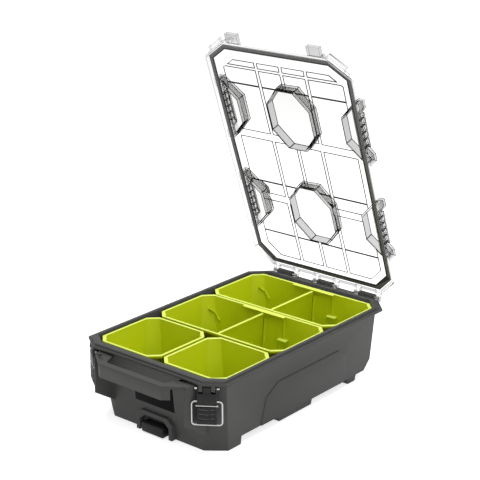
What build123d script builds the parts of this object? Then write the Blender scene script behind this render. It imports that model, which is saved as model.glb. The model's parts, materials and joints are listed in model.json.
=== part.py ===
from build123d import *
import os
from math import cos, radians, sin, sqrt, tan

# Small parts organizer: a tub with lift-out bins under a clear hinged lid.
# Millimetres, +Z up, front (handle) at -Y, hinge at +Y, origin on the floor under the bin field's centre.

# Bin field
field_half_x = 108.0
field_half_y = 168.0
bin_corner = 13.0
bin_low_corner = 18.0
bin_wall = 2.0
bin_taper = 8.0
bin_lip = 1.4
bin_lip_height = 4.0
bin_floor = 2.0
bin_slope_gap = 1.2
bin_slope_run = 2.8
bin_rim_step = 0.5
bin_rim_width = 0.2
small_bin_rear_y = -58.8
small_bin_gap = 4.6
row_gap = 4.9
wide_bin_gap = 2.6
middle_bin_rear_y = 55.7
tab_half_x = 36.0
tab_depth = 8.0
tab_thickness = 2.0
divider_thickness = 1.8
divider_drop = 2.0
divider_bead = 3.6
bead_height = 2.5
guide_width = 2.0
guide_depth = 4.0
guide_drop = 6.0
slide_clearance = 0.3
seat_clearance = 0.3

# Flange round the tub's top, measured from the bin field
tub_height = 103.5
flange_margin_x = 13.2
flange_margin_front = 20.0
flange_margin_rear = 23.7
flange_thickness = 3.0
flange_corner = 27.6
flange_rear_cut = 30.0
corner_turn = 35.0

# Sealing ridge, measured in from the flange
ridge_inset_x = 5.2
ridge_inset_front = 3.5
ridge_inset_rear = 13.7
ridge_inset_corner = 3.3
ridge_rear_cut = 23.0
ridge_width = 5.0
ridge_width_front = 9.5
ridge_height = 2.9

# Tub walls, measured in from the flange, and their lean
tub_inset_x = 8.2
tub_inset_front = 10.0
tub_inset_rear = 11.7
tub_inset_corner = 10.7
tub_lean_x = 10.0
tub_lean_front = 12.0
tub_rear_cut = 23.5
tub_wall = 3.2
under_clearance = 12.0
floor_thickness = 3.0
rear_slope_inset = 33.0
rear_slope_run = 45.0
rear_slope_rise = 56.0
corner_cut_low = 24.0
corner_cut_lean = 1.15
rear_wall_run = 4.8

# Front deck and carry handle, measured out from the flange
deck_drop = 4.9
deck_thickness = 4.0
handle_reach = 28.0
handle_thickness = 10.0
handle_height = 19.0
handle_end_run = 9.0
handle_end_rise = 7.5
handle_bend_inset = 25.4
slot_corner = 6.0
slot_inset_front = 3.4
slot_flare = 8.6
fin_inset_x = 42.4
fin_reach = 12.5
fin_tip_half = 1.5
fin_tip_run = 2.2
fin_inner_root_run = 4.8
fin_outer_root_run = 8.5
fin_root_reach = 2.0
fin_low_tip = 45.7
fin_low_root = 30.0
fin_embed = 8.0
lock_hole_inset = 5.8
lock_hole_reach = 7.0
lock_hole_radius = 3.3

# Feet and side relief
foot_band_depth = 44.0
foot_wall = 4.0
middle_foot_front_y = -39.5
middle_foot_rear_y = 30.0
rear_foot_front_y = 114.0
foot_inset_x = 4.0
foot_width = 13.0
foot_ramp = 4.0
socket_gap = 1.0
socket_wall = 3.0
spine_half_x = 7.0
panel_front_y = -84.0
panel_rear_y = 97.0
panel_shoulder_front_y = -55.0
panel_shoulder_rear_y = 75.0
panel_top_z = 66.4
panel_shoulder_z = 51.0
panel_raise = 1.2
panel_front_lean = 5.0

# Hinge
hinge_behind = 0.5
hinge_drop = 0.1
hinge_sets = 3
hinge_spacing = 73.5
hinge_half_width = 22.0
hinge_knuckle = 9.0
knuckle_radius = 5.0
hinge_pin_radius = 2.0
running_clearance = 0.05
knuckle_gap = 0.4
notch_gap = 0.6
knuckle_arm = 3.0
bore_end = 1.0
lid_open_deg = 70.2

# Lid, drawn closed over the flange
lid_overhang_x = 4.8
lid_overhang_front = 4.5
lid_rear_inset = 7.7
lid_rear_cut = 27.0
lid_rise = 5.0
lid_plate = 2.5
rim_wall = 2.5
rim_side_wall = 3.0
rim_drop = 4.3
rim_lean_x = 5.5
rim_lean_front = 4.0
rim_lean_reach = 1.5
pad_inset_x = 25.0
pad_inset_front = 29.5
pad_inset_rear = 18.0
pad_cut = 20.0
pad_raise = 0.8
groove_columns = ((-42.0, 5.0), (0.0, 5.0), (42.0, 5.0))
groove_rows = ((-153.0, 4.0), (-126.0, 1.2), (-45.0, 12.0), (34.0, 1.2), (60.0, 12.0), (124.0, 1.2))
boss_rows_y = (-81.0, 75.0)
boss_half_x = 38.0
boss_half_y = 47.5
boss_cut_x = 23.0
boss_cut_y = 27.0
boss_wall = 2.2
stack_clearance = 0.3
side_boss_width = 39.0
side_boss_flat_half = 19.5
side_boss_rim = 16.0
grip_depth = 12.0
grip_lip_depth = 9.0
grip_end_inset = 3.5
grip_recess_half = 26.0
grip_end_half = 36.0
grip_lip = 2.0
grip_ribs = 5
grip_rib = 2.2
grip_rib_pitch = 10.4
seal_gap = 0.2
seal_width = 6.5
seal_outset_x = 2.7
seal_outset_front = 2.3
seal_inset_corner = 0.4
ear_run = 15.5
ear_side = 6.5
ear_reach = 13.5
ear_root = 6.0

# Corner latches, in a frame turned with the corner: along, out and up
latch_shift = 9.1
latch_pin_inset = 3.2
latch_pin_drop = 7.0
latch_pin_radius = 1.25
latch_pin_half = 15.5
hook_offset = 7.9
hook_width = 4.6
hook_radius = 4.6
hook_slot_gap = 0.5
hook_stem = 4.0
hook_root_drop = 2.5
hook_root = 10.0
lever_half = 12.4
lever_knuckle_radius = 3.5
lever_thickness = 7.6
lever_length = 46.0
lever_top_drop = 5.9
neck_half = 3.0
bail_drop = 16.5
bail_offset = 2.0
bail_radius = 1.1
bail_half = 19.0
bail_length = 31.4
bail_bend = 4.0
bail_clearance = 0.06
cross_pin_drop = 22.3
cross_pin_radius = 1.0
cross_pin_half = 14.2
cross_groove = 3.2
cross_groove_depth = 1.6
cross_pin_sink = 1.4
grip_ridges = 3
grip_ridge_pitch = 6.0
grip_ridge_radius = 0.8
grip_ridge_start = 7.5
grip_ridge_inset = 3.0
catch_half = 15.0
catch_root_half = 22.4
catch_root = 0.5
catch_channel = 4.6
catch_nose = 6.8
catch_rise = 1.2
catch_nose_rise = 3.7
catch_gap = 1.1

# Release button and label, measured from the foot of the front wall
button_half_x = 18.5
button_reach = 11.0
button_depth = 8.0
button_low_z = 1.6
button_high_z = 14.3
button_edge = 1.0
button_fit = 0.5
surround_half_x = 31.0
surround_top_half_x = 22.5
surround_shoulder_z = 22.0
surround_top_z = 29.5
surround_reach = 7.5
surround_border = 6.0
surround_recess = 1.0
housing_depth = 28.0
housing_wall = 2.5
rail_width = 7.0
stop_flange = 3.0
spring_radius = 4.0
spring_wire = 0.45
spring_turns = 7
spring_inset_x = 10.0
spring_seat_depth = 4.0
spring_seat_gap = 1.2
spring_end_gap = 0.1
label_half_x = 34.0
label_low_z = 40.0
label_high_z = 76.0
label_thickness = 1.2
label_recess = 0.8

turn = radians(corner_turn)
nodes = {}


def corner_reach(half_x, front, cut):
    """How far from the origin the face of a cut front corner lies."""
    return (half_x - cut) * sin(turn) + front * cos(turn)


def corner_cut(half_x, front, reach):
    """Cut of a front corner, along X and Y, whose face lies at the given reach from the origin."""
    along = half_x - (reach - front * cos(turn)) / sin(turn)
    return along, along * tan(turn)


# Worked-out heights
rim_z = tub_height
deck_z = rim_z - deck_drop
flange_low_z = rim_z - flange_thickness
ridge_top_z = rim_z + ridge_height
floor_z = under_clearance + floor_thickness
bin_low_z = floor_z + seat_clearance
hinge_z = rim_z - hinge_drop
lid_plate_z = rim_z + lid_rise
plate_top_z = lid_plate_z + lid_plate
boss_top_z = plate_top_z + pad_raise + under_clearance - stack_clearance
latch_pin_z = rim_z - latch_pin_drop
lever_low_z = latch_pin_z - lever_length
lever_top_z = latch_pin_z - lever_top_drop
bail_axis_z = latch_pin_z - bail_drop
cross_pin_z = latch_pin_z - cross_pin_drop
catch_low_z = rim_z + catch_gap
catch_lip_z = lid_plate_z + catch_rise
catch_nose_z = lid_plate_z + catch_nose_rise

# Worked-out places of the flange, ridge and tub
flange_half_x = field_half_x + flange_margin_x
flange_front = field_half_y + flange_margin_front
flange_rear = field_half_y + flange_margin_rear
flange_reach = corner_reach(flange_half_x, flange_front, flange_corner)
ridge_half_x = flange_half_x - ridge_inset_x
ridge_front = flange_front - ridge_inset_front
ridge_rear = flange_rear - ridge_inset_rear
ridge_reach = flange_reach - ridge_inset_corner
tub_half_x_high = flange_half_x - tub_inset_x
tub_half_x_low = tub_half_x_high - tub_lean_x
tub_front_high = flange_front - tub_inset_front
tub_front_low = tub_front_high - tub_lean_front
tub_rear_y = flange_rear - tub_inset_rear
corner_reach_high = flange_reach - tub_inset_corner
rear_slope_start_y = field_half_y - rear_slope_inset
bin_slope = rear_wall_run + bin_slope_gap
foot_outer_x = tub_half_x_low - foot_inset_x
foot_inner_x = foot_outer_x - foot_width
foot_band_rear_y = foot_band_depth - tub_front_low
hinge_y = flange_rear + hinge_behind

# Worked-out places of the handle and its fins
handle_front = flange_front + handle_reach
fin_tip_x = flange_half_x - fin_inset_x
fin_tip_y = flange_front + fin_reach
fin_inner_root_x = fin_tip_x - fin_inner_root_run
fin_outer_root_x = fin_tip_x + fin_outer_root_run
fin_root_y = tub_front_high - fin_root_reach
handle_end_x = fin_tip_x - fin_tip_half
handle_end_y = fin_tip_y - fin_tip_run
handle_half_x = fin_tip_x - handle_bend_inset
slot_half_x_front = handle_half_x - slot_inset_front
slot_half_x_rear = handle_half_x + slot_flare
lock_hole_x = fin_tip_x - lock_hole_inset
lock_hole_y = flange_front + lock_hole_reach

# Worked-out places of the lid
lid_half_x = flange_half_x + lid_overhang_x
lid_front = flange_front + lid_overhang_front
lid_rear = flange_rear - lid_rear_inset
pad_half_x = lid_half_x - pad_inset_x
pad_front = lid_front - pad_inset_front
pad_rear = lid_rear - pad_inset_rear
side_boss_inner_x = lid_half_x - side_boss_width
side_boss_mouth_x = lid_half_x - side_boss_rim
grip_wall_x = lid_half_x - grip_depth
grip_lip_x = lid_half_x - grip_lip_depth
grip_end_x = lid_half_x - grip_end_inset
seal_half_x = ridge_half_x + seal_outset_x
seal_front = ridge_front + seal_outset_front
seal_reach = ridge_reach - seal_inset_corner
ear_inner_x = lock_hole_x - ear_run
ear_outer_x = lock_hole_x + ear_side
ear_front = lid_front + ear_reach

# Worked-out places of the latches and the button
corner_middle_x = flange_half_x - flange_corner / 2
corner_middle_y = flange_corner * tan(turn) / 2 - flange_front
latch_along = corner_middle_x * cos(turn) + corner_middle_y * sin(turn) - latch_shift
latch_pin_out = flange_reach - latch_pin_inset
hook_root_out = latch_pin_out - hook_root
bail_axis_out = latch_pin_out + bail_offset
catch_root_out = flange_reach + catch_root
catch_channel_out = flange_reach + catch_channel
catch_nose_out = flange_reach + catch_nose
button_front = tub_front_low + button_reach
button_rear = tub_front_low - button_depth
surround_front = tub_front_low + surround_reach
housing_rear_y = tub_front_low - housing_depth


def outline(half_x, front, rear, front_cut, rear_cut, z=0.0):
    """Rectangle about the Y axis with its four corners cut off."""
    fx, fy = front_cut
    rx, ry = rear_cut
    right = [(half_x - fx, -front), (half_x, -front + fy), (half_x, rear - ry), (half_x - rx, rear)]
    left = [(-x, y) for x, y in reversed(right)]
    return Face(Wire.make_polygon([Vector(x, y, z) for x, y in right + left]))


def slab(face, height):
    return extrude(face, amount=height, dir=(0, 0, 1))


def taper(low, high):
    return loft([low, high], ruled=True)


def box(x, y, z):
    """Box from its X, Y and Z ranges."""
    size = [high - low for low, high in (x, y, z)]
    middle = [(high + low) / 2 for low, high in (x, y, z)]
    return Pos(*middle) * Box(*size)


def prism(points, low, high, axis):
    """Prism over a polygon; axis X takes (y, z) points and axis Z takes (x, y) points."""
    if axis == "X":
        face = Face(Wire.make_polygon([Vector(low, a, b) for a, b in points]))
        return extrude(face, amount=high - low, dir=(1, 0, 0))
    if axis == "Y":
        face = Face(Wire.make_polygon([Vector(a, low, b) for a, b in points]))
        return extrude(face, amount=high - low, dir=(0, 1, 0))
    face = Face(Wire.make_polygon([Vector(a, b, low) for a, b in points]))
    return extrude(face, amount=high - low, dir=(0, 0, 1))


def rod_x(radius, x_low, x_high, y, z):
    return Pos((x_low + x_high) / 2, y, z) * Rot(0, 90, 0) * Cylinder(radius, x_high - x_low)


def both_sides(part):
    return part + mirror(part, Plane.YZ)


def turned(part):
    """Place a piece drawn in the right front corner's own frame (along, -out, up)."""
    return Rot(0, 0, corner_turn) * part


def rear_slope(offset):
    """Wedge under the tub's sloped back, moved forward by the offset."""
    y0 = rear_slope_start_y - offset
    reach = 2.0
    points = [
        (y0 - rear_slope_run * reach, -rear_slope_rise * reach),
        (y0 + rear_slope_run * reach, rear_slope_rise * reach),
        (y0 + rear_slope_run * reach, -rear_slope_rise * reach),
    ]
    return prism(points, -2 * field_half_x, 2 * field_half_x, "X")


def tub_outer():
    low_cut = (corner_cut_low, corner_cut_low * tan(turn) * corner_cut_lean)
    high_cut = corner_cut(tub_half_x_high, tub_front_high, corner_reach_high)
    rear_cut = (tub_rear_cut, tub_rear_cut)
    low = outline(tub_half_x_low, tub_front_low, tub_rear_y, low_cut, rear_cut)
    high = outline(tub_half_x_high, tub_front_high, tub_rear_y, high_cut, rear_cut, flange_low_z)
    return taper(low, high) - rear_slope(0)


def tub_inner():
    """Inside of the tub, from its floor through the sealing ridge."""
    share = floor_z / flange_low_z
    half_x = tub_half_x_low + (tub_half_x_high - tub_half_x_low) * share - tub_wall
    front = tub_front_low + (tub_front_high - tub_front_low) * share - tub_wall
    low_cut = (corner_cut_low, corner_cut_low * tan(turn))
    rear_cut = (ridge_rear_cut - ridge_width * (2 - sqrt(2)),) * 2
    top_half_x = ridge_half_x - ridge_width
    top_front = ridge_front - ridge_width_front
    top_cut = corner_cut(top_half_x, top_front, ridge_reach - ridge_width_front)
    low = outline(half_x, front, ridge_rear - ridge_width, low_cut, rear_cut, floor_z)
    high = outline(top_half_x, top_front, ridge_rear - ridge_width, top_cut, rear_cut, ridge_top_z + 1)
    return taper(low, high) - rear_slope(rear_wall_run)


def flange():
    cut = corner_cut(flange_half_x, flange_front, flange_reach)
    face = outline(flange_half_x, flange_front, flange_rear, cut, (flange_rear_cut,) * 2, flange_low_z)
    ridge_cut = corner_cut(ridge_half_x, ridge_front, ridge_reach)
    ridge = outline(ridge_half_x, ridge_front, ridge_rear, ridge_cut, (ridge_rear_cut,) * 2, flange_low_z)
    return slab(face, flange_thickness) + slab(ridge, ridge_top_z - flange_low_z)


def handle():
    """Deck, arms and grip in front of the tub, with the hand slot through them."""
    half = [
        (handle_half_x, -handle_front),
        (handle_end_x, -handle_end_y),
        (fin_tip_x, -fin_tip_y + fin_tip_half),
        (fin_outer_root_x, -fin_root_y),
    ]
    plan = half + [(-x, y) for x, y in reversed(half)]
    deck = prism(plan, deck_z - deck_thickness, deck_z, "Z")
    grip_points = [
        (handle_half_x, -handle_front),
        (handle_half_x + handle_end_run, -handle_front + handle_end_rise),
        (handle_half_x, -handle_front + handle_thickness),
    ]
    grip_plan = grip_points + [(-x, y) for x, y in reversed(grip_points)]
    grip = prism(grip_plan, deck_z - handle_height, deck_z, "Z")
    slot_front = -handle_front + handle_thickness
    slot_half = [(slot_half_x_front, slot_front), (slot_half_x_rear, -tub_front_high)]
    slot_plan = slot_half + [(-x, y) for x, y in reversed(slot_half)]
    slot = prism(slot_plan, deck_z - 2 * handle_height, deck_z + 1, "Z")
    slot = fillet(slot.edges().filter_by(Axis.Z).group_by(Axis.Y)[0], slot_corner)
    return deck + grip - slot


def fins():
    """Side plates that carry the deck down to the front wall."""
    plan = [
        (fin_tip_x - fin_tip_half, -fin_tip_y),
        (fin_tip_x + fin_tip_half, -fin_tip_y + 1),
        (fin_outer_root_x, -fin_root_y),
        (fin_outer_root_x, -fin_root_y + fin_embed),
        (fin_inner_root_x, -fin_root_y + fin_embed),
        (fin_inner_root_x, -fin_root_y),
    ]
    plate = prism(plan, 0, deck_z - deck_thickness, "Z")
    slope = (fin_low_tip - fin_low_root) / (fin_tip_y - fin_root_y)
    rise = 40.0
    under = [
        (-fin_root_y + rise, fin_low_root - rise * slope),
        (-fin_tip_y - rise, fin_low_tip + rise * slope),
        (-fin_tip_y - rise, -rise),
        (-fin_root_y + rise, -rise),
    ]
    return both_sides(plate - prism(under, 0, 2 * fin_tip_x, "X"))


def feet():
    """Side lugs, rear lugs, the stacking sockets' walls and the spine between them."""
    def lug(y_low, y_high):
        points = [(y_low, 0), (y_high, 0), (y_high + foot_ramp, floor_z - 1), (y_low - foot_ramp, floor_z - 1)]
        return prism(points, foot_inner_x, foot_outer_x, "X")
    rear_foot_rear = rear_slope_start_y - foot_ramp
    lugs = both_sides(lug(middle_foot_front_y, middle_foot_rear_y) + lug(rear_foot_front_y, rear_foot_rear))
    for y in boss_rows_y:
        lugs += slab(grown(boss_face(y, 0), socket_gap + socket_wall), floor_z - 1)
    spine = box((-spine_half_x, spine_half_x), boss_rows_y, (0, floor_z - 1))
    return lugs + spine


def sockets():
    """Rooms under the tub for the middle bosses of the lid that it is stacked on."""
    rooms = [slab(grown(boss_face(y, -1), socket_gap), under_clearance + 1) for y in boss_rows_y]
    return rooms[0] + rooms[1]


def side_panels():
    """Raised panel on each side wall, following its draft."""
    points = [
        (panel_front_y, under_clearance),
        (panel_front_y + panel_front_lean, panel_shoulder_z),
        (panel_shoulder_front_y, panel_top_z),
        (panel_shoulder_rear_y, panel_top_z),
        (panel_rear_y, panel_shoulder_z),
        (panel_rear_y, under_clearance),
    ]
    shift = (tub_half_x_high - tub_half_x_low) / flange_low_z
    block = prism(points, tub_half_x_low - 1, tub_half_x_high + panel_raise, "X")
    keep = [
        (tub_half_x_low - 1, 0),
        (tub_half_x_low + panel_raise, 0),
        (tub_half_x_low + panel_raise + flange_low_z * shift, flange_low_z),
        (tub_half_x_low - 1 + flange_low_z * shift, flange_low_z),
    ]
    face = Face(Wire.make_polygon([Vector(x, panel_front_y - 1, z) for x, z in keep]))
    skin = extrude(face, amount=panel_rear_y - panel_front_y + 2, dir=(0, 1, 0))
    return both_sides(block & skin)


def surround():
    """Raised frame round the release button, with the housing behind it."""
    def shield(inset, y_low, y_high):
        half = [
            (surround_half_x - inset, -1 if inset else 0),
            (surround_half_x - inset, surround_shoulder_z - inset),
            (surround_top_half_x - inset, surround_top_z - inset),
        ]
        return prism(half + [(-x, z) for x, z in reversed(half)], y_low, y_high, "Y")
    frame = shield(0, -surround_front, -tub_front_low + foot_wall)
    recess = shield(surround_border, -surround_front - 1, -tub_front_low + surround_recess)
    return frame, recess


def button_bay():
    """Walls and room of the housing that the release button slides in."""
    half = button_half_x + stop_flange + button_fit
    high = button_high_z + button_fit
    walls = box((-half - housing_wall, half + housing_wall), (-tub_front_low, -housing_rear_y),
                (0, high + housing_wall))
    low = button_low_z - button_fit
    length = (-button_rear - stop_flange - button_fit, -housing_rear_y - housing_wall)
    room = box((-half, half), length, (low, high))
    room += box((-half + rail_width, half - rail_width), length, (-1, low))
    mouth = box((-button_half_x - button_fit, button_half_x + button_fit), (-surround_front - 5, -button_rear),
                (-1, high))
    return walls, room + mouth


def base_hinges():
    barrels = []
    notches = []
    for i in range(hinge_sets):
        x = (i - (hinge_sets - 1) / 2) * hinge_spacing
        inner = hinge_half_width - hinge_knuckle - knuckle_gap
        barrel = rod_x(knuckle_radius, x - inner, x + inner, hinge_y, hinge_z)
        web = box((x - inner, x + inner), (lid_rear, hinge_y), (hinge_z - knuckle_radius, hinge_z))
        bore = rod_x(hinge_pin_radius, x - inner - bore_end, x + inner + bore_end, hinge_y, hinge_z)
        barrels.append((barrel + web, bore))
        for side in (-1, 1):
            near = x + side * inner
            far = x + side * (hinge_half_width + knuckle_gap)
            span = (min(near, far), max(near, far))
            notches.append(box(span, (hinge_y - knuckle_radius - notch_gap, hinge_y + 2 * knuckle_radius),
                               (flange_low_z - 2 * knuckle_radius, rim_z + 1)))
    return barrels, notches


def latch_seat():
    """Hooks under the flange that hold the latch pin."""
    hooks = []
    for side in (-1, 1):
        s = latch_along + side * hook_offset
        span = (s - hook_width / 2, s + hook_width / 2)
        disc = rod_x(hook_radius, *span, -latch_pin_out, latch_pin_z)
        stem = box(span, (-latch_pin_out - hook_stem, -hook_root_out), (latch_pin_z, flange_low_z + 1))
        root = box(span, (-latch_pin_out, -hook_root_out), (latch_pin_z - hook_root_drop, flange_low_z + 1))
        hooks.append(disc + stem + root)
    bore = rod_x(latch_pin_radius, latch_along - latch_pin_half, latch_along + latch_pin_half, -latch_pin_out,
                 latch_pin_z)
    return [turned(hook - bore) for hook in hooks]


def base_tub():
    body = tub_outer() + flange() + handle() + fins()
    gap = box((-2 * field_half_x, 2 * field_half_x), (foot_band_rear_y, 2 * field_half_y),
              (-1, under_clearance))
    body -= gap
    band_inner = outline(tub_half_x_low - foot_wall, tub_front_low - foot_wall, foot_band_rear_y - foot_wall,
                         (corner_cut_low, corner_cut_low * tan(turn)), (1, 1), -1)
    body -= slab(band_inner, under_clearance + 1)
    body += feet()
    body -= sockets()
    body += side_panels()
    frame, recess = surround()
    walls, room = button_bay()
    body += frame
    body += walls
    body -= recess
    body -= room
    body -= tub_inner()
    for hook in latch_seat():
        body += both_sides(hook)
    barrels, notches = base_hinges()
    for barrel, bore in barrels:
        body += barrel
        body -= bore
    for notch in notches:
        body -= notch
    body -= Pos(-lock_hole_x, -lock_hole_y, deck_z) * Cylinder(lock_hole_radius, 4 * deck_thickness)
    body -= label_block(label_recess)
    return body


def front_wall_y(z):
    return -(tub_front_low + (tub_front_high - tub_front_low) * z / flange_low_z)


def label_block(depth):
    """Label's outline on the sloping front wall, sunk by the depth."""
    proud = label_thickness - label_recess
    low, high = label_low_z, label_high_z
    points = [
        (front_wall_y(low) + depth, low),
        (front_wall_y(low) - proud, low),
        (front_wall_y(high) - proud, high),
        (front_wall_y(high) + depth, high),
    ]
    return prism(points, -label_half_x, label_half_x, "X")


def make_bin(x_low, x_high, y_low, y_high, wide):
    """Open bin with cut corners and a lip; wide ones have a rear tab and guides for a divider."""
    half = (x_high - x_low) / 2
    depth = (y_high - y_low) / 2
    centre = Pos((x_low + x_high) / 2, (y_low + y_high) / 2, 0)

    def ring(inset, cut, z):
        return outline(half - inset, depth - inset, depth - inset, (cut, cut), (cut, cut), z)
    shell = taper(ring(bin_taper, bin_low_corner, bin_low_z), ring(bin_lip, bin_corner, rim_z))
    lip = slab(ring(0, bin_corner, rim_z - bin_lip_height), bin_lip_height)
    hollow = taper(ring(bin_taper + bin_wall, bin_low_corner, bin_low_z),
                   ring(bin_lip + bin_wall, bin_corner, rim_z))
    hollow -= box((-half, half), (-depth, depth), (0, bin_low_z + bin_floor))
    solid = shell + lip
    rim_step = slab(ring(bin_lip + bin_wall - bin_rim_width, bin_corner, rim_z - bin_rim_step), 1)
    if y_high > rear_slope_start_y:
        solid -= centre.inverse() * rear_slope(bin_slope)
        hollow -= centre.inverse() * rear_slope(bin_slope + bin_slope_run)
    result = solid - hollow - rim_step
    if wide:
        tab = box((-tab_half_x, tab_half_x), (depth - tab_depth, depth), (rim_z - tab_thickness, rim_z))
        result += tab
        result += divider_guides(depth, solid)
    return centre * result


def divider_guides(depth, within):
    """Two ribs on the front and rear walls that hold the divider between them."""
    half_slot = divider_thickness / 2 + slide_clearance
    ribs = []
    for side in (-1, 1):
        span = sorted((side * half_slot, side * (half_slot + guide_width)))
        for end in (-1, 1):
            top = rim_z - bin_lip_height - guide_drop
            thin = bin_lip + bin_wall + guide_depth
            wide_end = bin_taper + bin_wall + guide_depth
            points = [
                (end * (depth - wide_end), bin_low_z + 1),
                (end * depth, bin_low_z + 1),
                (end * depth, top),
                (end * (depth - thin), top),
            ]
            ribs.append(prism(points, *span, "X") & within)
    return ribs[0] + ribs[1] + ribs[2] + ribs[3]


def make_divider(y_low, y_high):
    """Removable wall across a wide bin, standing between its guides."""
    gap = slide_clearance
    low_z = bin_low_z + bin_floor + gap
    high_z = rim_z - divider_drop
    span = rim_z - bin_low_z

    def wall_in(z):
        return bin_taper + (bin_lip - bin_taper) * (z - bin_low_z) / span + bin_wall + gap
    points = [
        (y_low + wall_in(low_z), low_z),
        (y_high - wall_in(low_z), low_z),
        (y_high - wall_in(high_z), high_z),
        (y_low + wall_in(high_z), high_z),
    ]
    plate = prism(points, -divider_thickness / 2, divider_thickness / 2, "X")
    bead_front = y_low + wall_in(high_z) + gap
    plate += box((-divider_bead / 2, divider_bead / 2), (bead_front, y_high - tab_depth - gap),
                 (high_z - bead_height, high_z))
    plate -= box((-tab_half_x, tab_half_x), (y_high - tab_depth - gap, y_high), (low_z, rim_z))
    if y_high > rear_slope_start_y:
        plate -= rear_slope(bin_slope + bin_slope_run + 2 * gap)
    return plate


def grown(face, amount):
    """The face with its outline moved outwards, or inwards for a negative amount, corners kept sharp."""
    return offset(face, amount=amount, kind=Kind.INTERSECTION)


def boss_face(y, z):
    """Eight-sided outline of a middle boss."""
    cut = (boss_cut_x, boss_cut_y)
    return Pos(0, y, 0) * outline(boss_half_x, boss_half_y, boss_half_y, cut, cut, z)


def side_boss_face(y, z):
    """Outline of the right side boss, with a recess for the fingers in its outer edge."""
    half = [
        (side_boss_inner_x, side_boss_flat_half),
        (grip_wall_x, boss_half_y),
        (grip_end_x, boss_half_y),
        (grip_end_x, grip_end_half),
        (grip_wall_x, grip_recess_half),
    ]
    points = half + [(x, -across) for x, across in reversed(half)]
    return Pos(0, y, 0) * Face(Wire.make_polygon([Vector(x, across, z) for x, across in points]))


def lid_bosses():
    """Raised stacking bosses of the lid and the hollows that open on its underside."""
    solids = []
    hollows = []
    for y in boss_rows_y:
        solids.append(slab(boss_face(y, lid_plate_z), boss_top_z - lid_plate_z))
        room = slab(grown(boss_face(y, lid_plate_z - 1), -boss_wall), boss_top_z - boss_wall - lid_plate_z + 1)
        hollows.append(room)
        side = slab(side_boss_face(y, lid_plate_z), boss_top_z - lid_plate_z)
        for i in range(grip_ribs):
            middle = y + (i - (grip_ribs - 1) / 2) * grip_rib_pitch
            side += box((grip_wall_x - 1, grip_lip_x), (middle - grip_rib / 2, middle + grip_rib / 2),
                        (plate_top_z, boss_top_z))
        side += box((grip_wall_x - 1, grip_lip_x), (y - grip_recess_half, y + grip_recess_half),
                    (boss_top_z - grip_lip, boss_top_z))
        room = slab(grown(side_boss_face(y, plate_top_z), -boss_wall), boss_top_z - boss_wall - plate_top_z)
        mouth = slab(grown(side_boss_face(y, lid_plate_z - 1), -boss_wall), lid_plate + 2)
        mouth &= box((0, side_boss_mouth_x), (-lid_front, lid_rear), (0, boss_top_z))
        solids.append(both_sides(side))
        hollows.append(both_sides(room + mouth))
    return solids, hollows


def lid_pads():
    """Raised middle of the lid's plate, parted by shallow grooves."""
    top = plate_top_z
    front_cut = (pad_cut, pad_cut * tan(turn))
    pads = slab(outline(pad_half_x, pad_front, pad_rear, front_cut, (pad_cut,) * 2, top), pad_raise)
    for x, width in groove_columns:
        pads -= box((x - width / 2, x + width / 2), (-pad_front, pad_rear), (top, top + pad_raise))
    for y, width in groove_rows:
        pads -= box((-pad_half_x, pad_half_x), (y - width / 2, y + width / 2), (top, top + pad_raise))
    return pads


def lid_catch():
    """Channel on the lid's corner that the latch wire drops into."""
    root = flange_reach - rim_wall
    middle = latch_along
    base = box((middle - catch_root_half, middle + catch_root_half), (-catch_root_out, -root),
               (catch_low_z, catch_lip_z))
    lip = box((middle - catch_half, middle + catch_half), (-catch_nose_out, -root), (catch_low_z, catch_lip_z))
    nose = box((middle - catch_half, middle + catch_half), (-catch_nose_out, -catch_channel_out),
               (catch_low_z, catch_nose_z))
    return turned(base + lip + nose)


def rim_outline(z, wall, side_wall):
    """Lid's outline at a height of its leaning rim, moved in by the wall."""
    share = (z - lid_plate_z + rim_drop) / (rim_drop + lid_plate)
    half_x = lid_half_x - rim_lean_x * share - side_wall
    front = lid_front - rim_lean_front * share - side_wall
    reach = flange_reach - rim_lean_reach * share - wall
    return outline(half_x, front, lid_rear - wall, corner_cut(half_x, front, reach), (lid_rear_cut,) * 2, z)


def lid_closed():
    low = lid_plate_z - rim_drop
    body = taper(rim_outline(low, 0, 0), rim_outline(plate_top_z, 0, 0))
    body -= taper(rim_outline(low, rim_wall, rim_side_wall), rim_outline(lid_plate_z, rim_wall, rim_side_wall))
    body += lid_pads()
    solids, hollows = lid_bosses()
    for solid in solids:
        body += solid
    for hollow in hollows:
        body -= hollow
    body += both_sides(lid_catch())
    ear = (ear_inner_x, ear_outer_x)
    body += both_sides(box(ear, (-ear_front, -lid_front + ear_root), (lid_plate_z, plate_top_z)))
    body += both_sides(box(ear, (-ear_front, -lid_front + 1), (catch_low_z, plate_top_z)))
    body -= Pos(-lock_hole_x, -lock_hole_y, lid_plate_z) * Cylinder(lock_hole_radius, boss_top_z)
    return body + lid_knuckles()


def lid_knuckles():
    arms = []
    for i in range(hinge_sets):
        x = (i - (hinge_sets - 1) / 2) * hinge_spacing
        for side in (-1, 1):
            span = sorted((x + side * (hinge_half_width - hinge_knuckle), x + side * hinge_half_width))
            barrel = rod_x(knuckle_radius, *span, hinge_y, hinge_z)
            points = [
                (lid_rear - knuckle_arm, lid_plate_z),
                (lid_rear - knuckle_arm, plate_top_z),
                (hinge_y - 1, plate_top_z),
                (hinge_y + knuckle_radius, hinge_z + 1),
                (hinge_y + knuckle_radius, hinge_z),
                (hinge_y - knuckle_radius, hinge_z),
            ]
            arms.append(barrel + prism(points, *span, "X"))
    body = arms[0]
    for arm in arms[1:]:
        body += arm
    bore = rod_x(hinge_pin_radius + running_clearance, -lid_half_x, lid_half_x, hinge_y, hinge_z)
    return body - bore


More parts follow.
